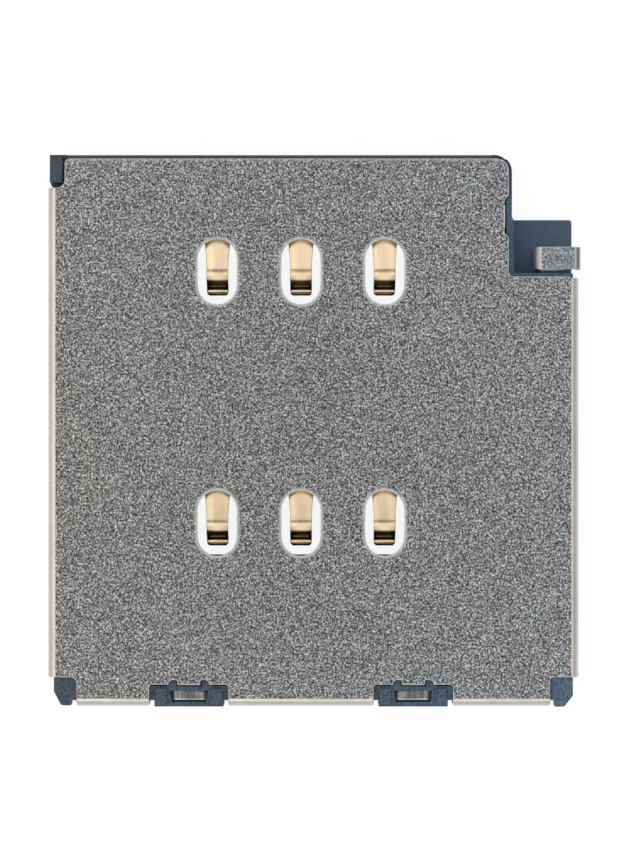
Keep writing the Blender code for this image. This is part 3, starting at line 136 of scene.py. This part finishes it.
class Finish:
    """Node material of one surface finish, built from the shader outwards."""

    def __init__(self, name, metallic, roughness):
        self.material = bpy.data.materials.new(name)
        self.material.use_nodes = True
        self.tree = self.material.node_tree
        self.shader = self.tree.nodes["Principled BSDF"]
        self.shader.inputs["Metallic"].default_value = metallic
        self.shader.inputs["Roughness"].default_value = roughness
        self.place = self.tree.nodes.new("ShaderNodeTexCoord").outputs["Object"]

    def link(self, value, socket):
        """Set a socket to a number or colour, or join it to another socket."""
        if isinstance(value, bpy.types.NodeSocket):
            self.tree.links.new(value, socket)
        else:
            socket.default_value = value

    def grain(self, scale, detail=2.0, roughness=0.5, stretch=(1.0, 1.0, 1.0), seed=0.0):
        """Noise of so many grains per metre, drawn out where stretch is below one."""
        mapping = self.tree.nodes.new("ShaderNodeMapping")
        self.link(self.place, mapping.inputs["Vector"])
        mapping.inputs["Scale"].default_value = stretch
        mapping.inputs["Location"].default_value = (seed, seed, seed)
        noise = self.tree.nodes.new("ShaderNodeTexNoise")
        self.link(mapping.outputs["Vector"], noise.inputs["Vector"])
        noise.inputs["Scale"].default_value = scale
        noise.inputs["Detail"].default_value = detail
        noise.inputs["Roughness"].default_value = roughness
        return noise.outputs["Fac"]

    def span(self, value, low, high, new_low, new_high):
        """Carry a range of values over to another range, and stop at its ends."""
        node = self.tree.nodes.new("ShaderNodeMapRange")
        for key, number in zip(("Value", "From Min", "From Max", "To Min", "To Max"),
                               (value, low, high, new_low, new_high)):
            self.link(number, node.inputs[key])
        return node.outputs["Result"]

    def math(self, operation, *values):
        """Result of one sum."""
        node = self.tree.nodes.new("ShaderNodeMath")
        node.operation = operation
        for value, socket in zip(values, node.inputs):
            self.link(value, socket)
        return node.outputs["Value"]

    def tones(self, value, stops):
        """Colours along a value, as (place, colour) stops."""
        node = self.tree.nodes.new("ShaderNodeValToRGB")
        ramp = node.color_ramp
        while len(ramp.elements) < len(stops):
            ramp.elements.new(0.5)
        for element, (place, colour) in zip(ramp.elements, stops):
            element.position = place
            element.color = (*colour, 1.0)
        self.link(value, node.inputs["Fac"])
        return node.outputs["Color"]

    def multiply(self, first, second):
        """Product of two colours."""
        return self.blend(1.0, first, second, "MULTIPLY")

    def blend(self, share, first, second, way="MIX"):
        """Mix of two colours."""
        node = self.tree.nodes.new("ShaderNodeMix")
        node.data_type = "RGBA"
        node.blend_type = way
        self.link(share, node.inputs["Factor"])
        for key, value in (("A", first), ("B", second)):
            socket = next(s for s in node.inputs if s.name == key and s.type == "RGBA")
            self.link(value, socket)
        return next(s for s in node.outputs if s.type == "RGBA")

    def coordinate(self, axis):
        """One object coordinate in metres."""
        node = self.tree.nodes.new("ShaderNodeSeparateXYZ")
        self.link(self.place, node.inputs["Vector"])
        return node.outputs[axis]

    def colour(self, value):
        self.link(value, self.shader.inputs["Base Color"])

    def roughness(self, value):
        self.link(value, self.shader.inputs["Roughness"])

    def relief(self, height, depth, strength=1.0):
        """Surface relief of so many metres."""
        bump = self.tree.nodes.new("ShaderNodeBump")
        bump.inputs["Distance"].default_value = depth
        bump.inputs["Strength"].default_value = strength
        self.link(height, bump.inputs["Height"])
        self.link(bump.outputs["Normal"], self.shader.inputs["Normal"])


def grey(level, warm=0.0):
    """Grey of a level, a little warmer or cooler."""
    return (level * (1 + warm), level, level * (1 - warm))


def blast_speckle(steel, cells, seed, levels):
    """Grey dots that blasting leaves, and the pits that go with them."""
    fine = steel.grain(cells, 1.0, 0.5, (1.0, 0.9, 1.0), seed)
    pits = steel.span(fine, 0.30, 0.70, 0.0, 1.0)
    stops = [(place, grey(level)) for place, level in zip((0.0, 0.25, 0.5, 0.75, 1.0), levels)]
    return steel.tones(pits, stops), pits


def flat_top(steel, height, top):
    """How flat the sheet is at a height just under its top, from 0 in its bends to 1."""
    return steel.span(height, top - BEND_PLAIN, top - BEND_START, 0.0, 1.0)


def plain_rim_band(steel):
    """How much a lighter plain band covers the rims of the windows and the front edge, from 0 to 1."""
    across, along = steel.coordinate("X"), steel.coordinate("Y")
    aside = steel.math("PINGPONG", steel.math("SUBTRACT", across, FIRST_COLUMN), COLUMN_PITCH / 2)
    from_block = steel.math("ABSOLUTE", steel.math("SUBTRACT", across, FIRST_COLUMN + COLUMN_PITCH))
    in_block = steel.math("LESS_THAN", from_block, 1.5 * COLUMN_PITCH)
    row = steel.math("MULTIPLY_ADD", steel.math("GREATER_THAN", along, ROW_DIVIDE), ROW_PITCH, REAR_WINDOWS)
    past = steel.math("SUBTRACT", steel.math("ABSOLUTE", steel.math("SUBTRACT", along, row)), WINDOW_STRAIGHT)
    past = steel.math("MAXIMUM", past, 0.0)
    squares = [steel.math("MULTIPLY", part, part) for part in (aside, past)]
    reach = steel.math("SQRT", steel.math("ADD", *squares))
    windows = steel.span(reach, WINDOW_RADIUS + RIM_BAND_WIDTH, WINDOW_RADIUS + RIM_BAND_WIDTH / 3, 0.0, 0.66)
    front = steel.span(along, COVER_FRONT - RIM_BAND_WIDTH, COVER_FRONT - RIM_BAND_WIDTH / 4, 0.0, 0.35)
    return steel.math("MAXIMUM", steel.math("MULTIPLY", windows, in_block), front)


def plated_bend_lit_and_shaded(steel):
    """Smooth warm steel of the bends, with a painted highlight near the top of each bend and painted shade
    lower down, towards the board.
    """
    brushed = steel.grain(3000, 2.0, 0.5, (1.0, 0.15, 1.0), 3.0)
    bright = steel.tones(brushed, [(0.3, (0.69, 0.65, 0.605)), (0.7, (0.79, 0.745, 0.695))])
    painted_low_shade = steel.tones(brushed, [(0.3, (0.48, 0.455, 0.43)), (0.7, (0.55, 0.52, 0.49))])
    # Painted light: the bends are lighter near the top, where they face the lamps, and darker lower down,
    # where shade falls
    high = steel.span(steel.coordinate("Z"), COVER_TOP - 0.100 * MM, COVER_TOP - 0.020 * MM, 0.0, 1.0)
    return steel.blend(high, painted_low_shade, bright)


def cover_tint_and_painted_light(steel):
    """Slow change of colour over the cover: painted light, warmer to the left and bluer to the right as the
    lamps fall on it, then bluer to both ends, in faint clouds.
    """
    across = steel.span(steel.coordinate("X"), -BEND_SIDE, BEND_SIDE, 0.0, 1.0)
    # Painted light: warmer on the left and bluer on the right, both a little lighter than the middle, as the
    # side lamps fall on the sheet
    painted_side_light = steel.tones(across, [(0.0, (1.04, 1.02, 0.99)), (0.5, (0.99, 0.985, 0.98)),
                                 (1.0, (1.045, 1.065, 1.095))])
    from_centre = steel.span(steel.math("ABSOLUTE", steel.coordinate("Y")), 2.5 * MM, 8.0 * MM, 0.0, 1.0)
    ends = steel.tones(from_centre, [(0.0, grey(1.0)), (1.0, (1.02, 1.035, 1.05))])
    clouds = steel.tones(steel.grain(2200, 1.0, 0.5, seed=6.0),
                         [(0.35, (0.990, 1.010, 0.998)), (0.65, (1.008, 0.990, 1.004))])
    return steel.multiply(steel.multiply(painted_side_light, ends), clouds)


def tongue_strip(steel):
    """Rolled lines of the tongues with a painted highlight along their lips, and how far a place lies on a
    tongue, from 0 to 1.
    """
    lines = steel.grain(26000, 1.0, 0.5, (1.0, 0.02, 0.02), 9.0)
    rolled = steel.tones(lines, [(0.30, grey(0.16)), (0.70, grey(0.40))])
    # Painted highlight: a bright cream band along the end of each tongue, where its lip would catch the light
    painted_lip_highlight = steel.math("LESS_THAN", steel.coordinate("Y"), TONGUE_LIP)
    rolled = steel.blend(painted_lip_highlight, rolled, (0.92, 0.83, 0.74, 1.0))
    across = steel.coordinate("X")
    aside = [steel.math("ABSOLUTE", steel.math("SUBTRACT", across, middle)) for middle in TONGUE_MIDDLES]
    near = steel.math("LESS_THAN", steel.math("MINIMUM", *aside), TONGUE_REACH)
    low = steel.span(steel.coordinate("Z"), TONGUE_TOP + 0.09 * MM, TONGUE_TOP + 0.05 * MM, 0.0, 1.0)
    return rolled, steel.math("MULTIPLY", low, near)


def blasted_steel():
    """Cover sheet: speckled where it was blasted, smooth round its bends, rolled lines on its tongues."""
    steel = Finish("blasted_steel", 1.0, 0.45)
    speckle, pits = blast_speckle(steel, 19500, 0.0, (0.035, 0.13, 0.25, 0.415, 0.76))
    speckle = steel.multiply(speckle, cover_tint_and_painted_light(steel))
    # Lighter plain grey band round the windows and along the front edge
    speckle = steel.blend(plain_rim_band(steel), speckle, (0.72, 0.705, 0.71, 1.0))

    from_middle = steel.math("ABSOLUTE", steel.math("SUBTRACT", steel.coordinate("X"), BEND_MIDDLE))
    beside = steel.math("GREATER_THAN", from_middle, BEND_SIDE)
    behind = steel.math("LESS_THAN", steel.coordinate("Y"), BEND_REAR)
    inside = steel.math("SUBTRACT", 1.0, steel.math("MAXIMUM", beside, behind))
    height = steel.math("MULTIPLY_ADD", inside, BEVEL_DROP, steel.coordinate("Z"))
    flat = flat_top(steel, height, COVER_TOP)

    rolled, on_tongue = tongue_strip(steel)
    plain = steel.blend(on_tongue, plated_bend_lit_and_shaded(steel), rolled)
    steel.colour(steel.blend(flat, plain, speckle))
    steel.roughness(steel.span(flat, 0.0, 1.0, 0.24, 0.46))
    steel.relief(steel.math("MULTIPLY", pits, flat), 0.004 * MM, 0.5)
    return steel.material


def sheared_edge():
    """Bright cut edge of the cover sheet."""
    edge = Finish("sheared_edge", 1.0, 0.28)
    streaks = edge.grain(9000, 2.0, 0.5, (1.0, 1.0, 0.2))
    bright = edge.tones(streaks, [(0.3, (0.50, 0.51, 0.51)), (0.7, (0.74, 0.75, 0.75))])
    front = edge.math("GREATER_THAN", edge.coordinate("Y"), COVER_FRONT - 0.05 * MM)
    edge.colour(edge.blend(front, bright, edge.multiply(bright, (0.55, 0.56, 0.64, 1.0))))
    edge.relief(streaks, 0.002 * MM, 0.4)
    return edge.material


def slate_plastic():
    """Moulded base: dark slate resin with a fine mould grain and short glass fibres, and painted light that
    makes it bluer and lighter towards the right.
    """
    resin = Finish("slate_plastic", 0.0, 0.45)
    cloud = resin.grain(900, 3.0, 0.6)
    fibres = resin.grain(14000, 2.0, 0.55, (1.0, 0.35, 1.0), 5.0)
    shade = resin.tones(cloud, [(0.3, grey(0.84)), (0.7, grey(1.16))])
    # Painted light: the resin turns bluer and lighter towards the right, as the blue light from that side
    # falls on it
    across = resin.span(resin.coordinate("X"), -BASE_SIDE, BASE_SIDE, 0.0, 1.0)
    slate = resin.tones(across, [(0.0, (0.039, 0.056, 0.084)), (0.7, (0.042, 0.075, 0.120)),
                                 (0.88, (0.042, 0.090, 0.155)), (0.98, (0.066, 0.116, 0.180))])
    depth = resin.span(resin.coordinate("Z"), 1.00 * MM, 1.30 * MM, 0.16, 0.50)
    spots = resin.grain(17000, 1.0, 0.5, (1.0, 0.6, 1.0), 8.0)
    mottle = resin.span(spots, 0.3, 0.7, resin.math("SUBTRACT", 1.0, depth), resin.math("ADD", 1.0, depth))
    corner = resin.math("MULTIPLY", resin.math("GREATER_THAN", resin.coordinate("X"), 5.0 * MM),
                        resin.math("GREATER_THAN", resin.coordinate("Y"), 0.0))
    shifted = resin.math("MULTIPLY_ADD", corner, 1.1 * MM, resin.coordinate("Y"))
    along = resin.span(shifted, -BASE_END, BASE_END, 0.0, 1.0)
    ends = resin.tones(along, [(0.05, (1.25, 1.21, 1.18)), (0.08, grey(1.0)), (0.985, grey(1.0)),
                               (0.99, (0.58, 0.45, 0.45))])
    base = resin.multiply(resin.multiply(resin.multiply(shade, slate), mottle), ends)
    light = resin.span(fibres, 0.55, 0.80, 0.0, 0.5)
    resin.colour(resin.blend(light, base, (0.09, 0.13, 0.18, 1.0)))
    resin.roughness(resin.span(cloud, 0.3, 0.7, 0.38, 0.52))
    resin.relief(fibres, 0.003 * MM, 0.35)
    return resin.material


def gold_plate():
    """Gold plating over a rolled strip, with fine rolling lines, and painted shade in the crook behind the
    crown.
    """
    gold = Finish("gold_plate", 1.0, 0.2)
    gold.shader.inputs["Specular Tint"].default_value = (0.30, 0.25, 0.18, 1.0)
    lines = gold.grain(22000, 3.0, 0.6, (1.0, 0.05, 0.3))
    plate = gold.tones(lines, [(0.3, (0.86, 0.67, 0.435)), (0.7, (0.90, 0.71, 0.475))])
    along = gold.coordinate("Y")
    row = gold.math("MULTIPLY_ADD", gold.math("GREATER_THAN", along, ROW_DIVIDE), ROW_PITCH, REAR_ROW)
    behind = gold.math("SUBTRACT", row, along)
    crook = gold.span(behind, 0.24 * MM, 0.60 * MM, 0.0, 1.0)
    # Painted shade: dark bands down the steep face and in the crook behind the crown, where the gold reflects
    # the dark inside of the socket
    painted_crook_shade = gold.tones(crook, [(0.00, grey(1.0)), (0.08, (0.62, 0.60, 0.56)), (0.25, (0.5, 0.48, 0.44)),
                               (0.33, (0.9, 0.88, 0.85)), (0.47, (0.9, 0.86, 0.8)),
                               (0.56, (0.35, 0.32, 0.28)), (0.64, (0.05, 0.045, 0.04)),
                               (0.82, (0.055, 0.05, 0.045)), (0.90, grey(1.0))])
    # Lighter along the middle of each contact and darker towards its sides
    aside = gold.math("PINGPONG", gold.math("SUBTRACT", gold.coordinate("X"), FIRST_COLUMN), COLUMN_PITCH / 2)
    middle_to_sides_tone = gold.tones(gold.span(aside, 0.0, 0.30 * MM, 0.0, 1.0),
                       [(0.0, grey(1.10)), (0.35, grey(1.07)), (0.65, grey(0.90)), (1.0, grey(0.78))])
    blotch = gold.grain(17000, 2.0, 0.6, seed=2.0)
    # Painted shade: a darker scalloped line along the crease where the arm meets the crown
    painted_crease_shade = gold.span(gold.math("ABSOLUTE", gold.math("ADD", behind, 0.030 * MM)), 0.025 * MM, 0.055 * MM,
                       gold.span(blotch, 0.35, 0.65, 0.45, 0.85), 1.0)
    gold.colour(gold.multiply(gold.multiply(gold.multiply(plate, middle_to_sides_tone), painted_crook_shade), painted_crease_shade))
    matt = gold.span(behind, -0.90 * MM, -0.80 * MM, 0.2, 1.0)
    gold.link(matt, gold.shader.inputs["Metallic"])
    gold.roughness(gold.span(lines, 0.3, 0.7, 0.18, 0.26))
    gold.relief(lines, 0.002 * MM, 0.25)
    return gold.material


def stamped_edge():
    """Cut edge of the contact strip, with little plating on it."""
    edge = Finish("stamped_edge", 1.0, 0.35)
    lines = edge.grain(9000, 2.0, 0.5)
    edge.colour(edge.tones(lines, [(0.3, (0.40, 0.31, 0.20)), (0.7, (0.54, 0.42, 0.28))]))
    return edge.material


def rod_steel():
    """Ejector rod: blasted like the cover, a little cooler and finer, with painted highlights and painted
    shade in bands down its bends, and its neck painted dark as shade.
    """
    steel = Finish("rod_steel", 1.0, 0.4)
    speckle, pits = blast_speckle(steel, 23000, 7.0, (0.12, 0.21, 0.30, 0.42, 0.62))
    cool = steel.multiply(speckle, (0.91, 0.98, 1.07, 1.0))
    flat = flat_top(steel, steel.coordinate("Z"), HEAD_TOP)
    # Painted highlight and painted shade: light and dark bands down the bent sides of the head, set by height
    drop = steel.span(steel.coordinate("Z"), HEAD_TOP, HEAD_TOP - 0.20 * MM, 0.0, 1.0)
    left = steel.tones(drop, [(0.03, grey(0.60, -0.03)), (0.09, grey(0.50, -0.03)), (0.17, grey(0.50, -0.03)),
                              (0.45, grey(0.97, -0.01)), (0.90, grey(0.97, -0.01))])
    right = steel.tones(drop, [(0.015, grey(0.62)), (0.06, grey(0.46)), (0.15, grey(0.22)),
                               (0.28, grey(0.24)), (0.45, grey(0.42)), (0.80, grey(0.60, 0.02))])
    bend = steel.blend(steel.math("GREATER_THAN", steel.coordinate("X"), HEAD_MIDDLE), left, right)
    # Painted shade: the neck behind the head, deep in the gap under it, is painted nearly black
    painted_neck_shade = steel.math("COMPARE", steel.coordinate("Y"), HEAD_REAR - SHADED_NECK_LENGTH / 2, SHADED_NECK_LENGTH / 2)
    bend = steel.blend(painted_neck_shade, bend, (0.035, 0.042, 0.052, 1.0))
    steel.colour(steel.blend(flat, bend, cool))
    steel.roughness(steel.span(flat, 0.0, 1.0, 0.46, 0.42))
    steel.relief(steel.math("MULTIPLY", pits, flat), 0.003 * MM, 0.4)
    return steel.material


def lever_steel():
    """Ejector arm: cold rolled strip with fine lines along its length."""
    steel = Finish("lever_steel", 1.0, 0.35)
    lines = steel.grain(7000, 3.0, 0.6, (0.08, 1.0, 1.0), 2.0)
    steel.colour(steel.tones(lines, [(0.3, grey(0.48, 0.01)), (0.7, grey(0.68, 0.01))]))
    steel.roughness(steel.span(lines, 0.3, 0.7, 0.28, 0.42))
    steel.relief(lines, 0.003 * MM, 0.4)
    return steel.material


def rivet_steel():
    """Turned rivet: smooth steel with a trace of the turning marks."""
    steel = Finish("rivet_steel", 1.0, 0.25)
    marks = steel.grain(6000, 2.0, 0.5, seed=4.0)
    steel.colour(steel.tones(marks, [(0.3, grey(0.55)), (0.7, grey(0.72))]))
    steel.roughness(steel.span(marks, 0.3, 0.7, 0.2, 0.32))
    steel.relief(marks, 0.002 * MM, 0.3)
    return steel.material


# Pieces

def one_skin(node, name, body):
    """A CAD node taken over as one closed skin, so that its corners can be rounded."""
    bpy.ops.object.select_all(action="DESELECT")
    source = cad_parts[node]
    source.select_set(True)
    bpy.context.view_layer.objects.active = source
    bpy.ops.object.duplicate()
    piece = bpy.context.active_object
    piece.name = name
    piece.data.name = name
    for key in list(piece.keys()):
        del piece[key]
    piece.data.materials.clear()
    bpy.ops.object.mode_set(mode="EDIT")
    bpy.ops.mesh.select_all(action="SELECT")
    bpy.ops.mesh.customdata_custom_splitnormals_clear()
    bpy.ops.mesh.remove_doubles(threshold=MERGE_DISTANCE)
    bpy.ops.mesh.dissolve_limited(angle_limit=math.radians(FLAT_ANGLE))
    bpy.ops.object.mode_set(mode="OBJECT")
    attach(piece, body)
    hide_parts(node)
    return piece


def round_over(piece, width, edge_slot=None):
    """Round the sharp corners by a width, then let the large faces set the shading."""
    bevel = piece.modifiers.new("round_over", "BEVEL")
    bevel.width = width
    bevel.segments = 2
    bevel.limit_method = "ANGLE"
    bevel.angle_limit = math.radians(CORNER_ANGLE)
    bevel.use_clamp_overlap = False
    if edge_slot is not None:
        bevel.material = edge_slot
    flats = piece.modifiers.new("keep_flats", "WEIGHTED_NORMAL")
    flats.keep_sharp = True
    bpy.ops.object.select_all(action="DESELECT")
    piece.select_set(True)
    bpy.context.view_layer.objects.active = piece
    bpy.ops.object.modifier_apply(modifier="round_over")
    bpy.ops.object.shade_smooth_by_angle(angle=math.radians(SMOOTH_ANGLE))
    bpy.ops.object.modifier_apply(modifier="keep_flats")


def fill_pockets(cover):
    """Widen and lengthen the tongues of the cover until they lie against the pockets."""
    for vertex in cover.data.vertices:
        place = vertex.co
        for middle in TONGUE_MIDDLES:
            if place.y < POCKET_FRONT + POCKET_MARGIN and place.z < TONGUE_TOP + TONGUE_MARGIN:
                if abs(place.x - middle) < TONGUE_REACH:
                    place.x = middle + (place.x - middle) * TONGUE_WIDENING
                    place.y = POCKET_FRONT + (place.y - POCKET_FRONT) * TONGUE_LENGTHENING


def make_pieces():
    """All pieces of the socket with their finishes."""
    steel, edge, resin = blasted_steel(), sheared_edge(), slate_plastic()
    gold, gold_edge = gold_plate(), stamped_edge()

    cover = one_skin("cover_shell", "folded_cover", "socket")
    cover.data.materials.append(steel)
    cover.data.materials.append(edge)
    fill_pockets(cover)
    round_over(cover, COVER_ROUND, edge_slot=1)

    base = one_skin("housing", "moulded_base", "socket")
    base.data.materials.append(resin)
    round_over(base, BASE_ROUND)

    for number in range(1, CONTACTS + 1):
        contact = one_skin(f"contact_{number}", f"spring_contact_{number}", "socket")
        contact.data.materials.append(gold)
        contact.data.materials.append(gold_edge)
        round_over(contact, CONTACT_ROUND, edge_slot=1)

    for node, name in (("detect_spring", "switch_spring"), ("detect_contact", "switch_contact")):
        piece = one_skin(node, name, "socket")
        piece.data.materials.append(gold)
        round_over(piece, SWITCH_ROUND)

    rod = one_skin("push_rod", "ejector_rod", "rod")
    rod.data.materials.append(rod_steel())
    rod.data.materials.append(edge)
    round_over(rod, ROD_ROUND, edge_slot=1)

    arm = one_skin("eject_lever", "ejector_arm", "lever")
    arm.data.materials.append(lever_steel())
    round_over(arm, ARM_ROUND)

    rivet = one_skin("pivot_rivet", "turned_rivet", "socket")
    rivet.data.materials.append(rivet_steel())
    round_over(rivet, RIVET_ROUND)


# Studio

def make_floor():
    """Pale light table under the socket."""
    bpy.ops.mesh.primitive_plane_add(size=TABLE_SIZE, location=(0.0, 0.0, -TABLE_DROP))
    floor = bpy.context.active_object
    floor.name = "light_table"
    table = Finish("light_table", 0.0, 0.6)
    table.colour((0.16, 0.16, 0.16, 1.0))
    table.shader.inputs["Emission Color"].default_value = (1.0, 1.0, 1.0, 1.0)
    table.shader.inputs["Emission Strength"].default_value = TABLE_GLOW
    floor.data.materials.append(table.material)


def make_softbox(name, azimuth, lean, size, radiance, colour):
    """Area light that leans from the zenith towards an azimuth, degrees from +X towards +Y.

    Its width lies across the lean and its depth along it."""
    area = bpy.data.lights.new(name, "AREA")
    area.shape = "RECTANGLE"
    area.size, area.size_y = size
    area.energy = radiance * math.pi * size[0] * size[1]
    area.color = colour
    lamp = bpy.data.objects.new(name, area)
    turn, tilt = math.radians(azimuth), math.radians(lean)
    toward = Vector((math.cos(turn) * math.sin(tilt), math.sin(turn) * math.sin(tilt), math.cos(tilt)))
    lamp.location = toward * SOFTBOX_DISTANCE
    lamp.rotation_euler = toward.to_track_quat("Z", "Y").to_euler()
    bpy.context.scene.collection.objects.link(lamp)


def make_studio():
    """Floor, soft light all round and the camera straight above."""
    make_floor()
    for name, azimuth, lean, size, radiance, colour in SOFTBOXES:
        make_softbox(name, azimuth, lean, size, radiance, colour)
    world = bpy.data.worlds.new("room")
    world.use_nodes = True
    background = world.node_tree.nodes["Background"]
    background.inputs["Color"].default_value = (1.0, 1.0, 1.0, 1.0)
    nodes, links = world.node_tree.nodes, world.node_tree.links
    split = nodes.new("ShaderNodeSeparateXYZ")
    fade = nodes.new("ShaderNodeMapRange")
    for key, number in (("From Min", 1.0), ("From Max", 0.0),
                        ("To Min", ROOM_ZENITH), ("To Max", ROOM_HORIZON)):
        fade.inputs[key].default_value = number
    links.new(nodes.new("ShaderNodeTexCoord").outputs["Generated"], split.inputs["Vector"])
    links.new(split.outputs["Z"], fade.inputs["Value"])
    links.new(fade.outputs["Result"], background.inputs["Strength"])
    bpy.context.scene.world = world
    camera = bpy.data.cameras.new("camera")
    camera.lens = LENS
    camera.sensor_width = SENSOR
    camera.clip_start = 1.0 * MM
    camera.clip_end = 10.0
    seat = bpy.data.objects.new("camera", camera)
    seat.location = (*VIEW_CENTRE, COVER_TOP + VIEW_HEIGHT * LENS / SENSOR)
    bpy.context.scene.collection.objects.link(seat)
    scene = bpy.context.scene
    scene.camera = seat
    scene.view_settings.view_transform = "Standard"
    scene.view_settings.look = "None"


make_pieces()
make_studio()
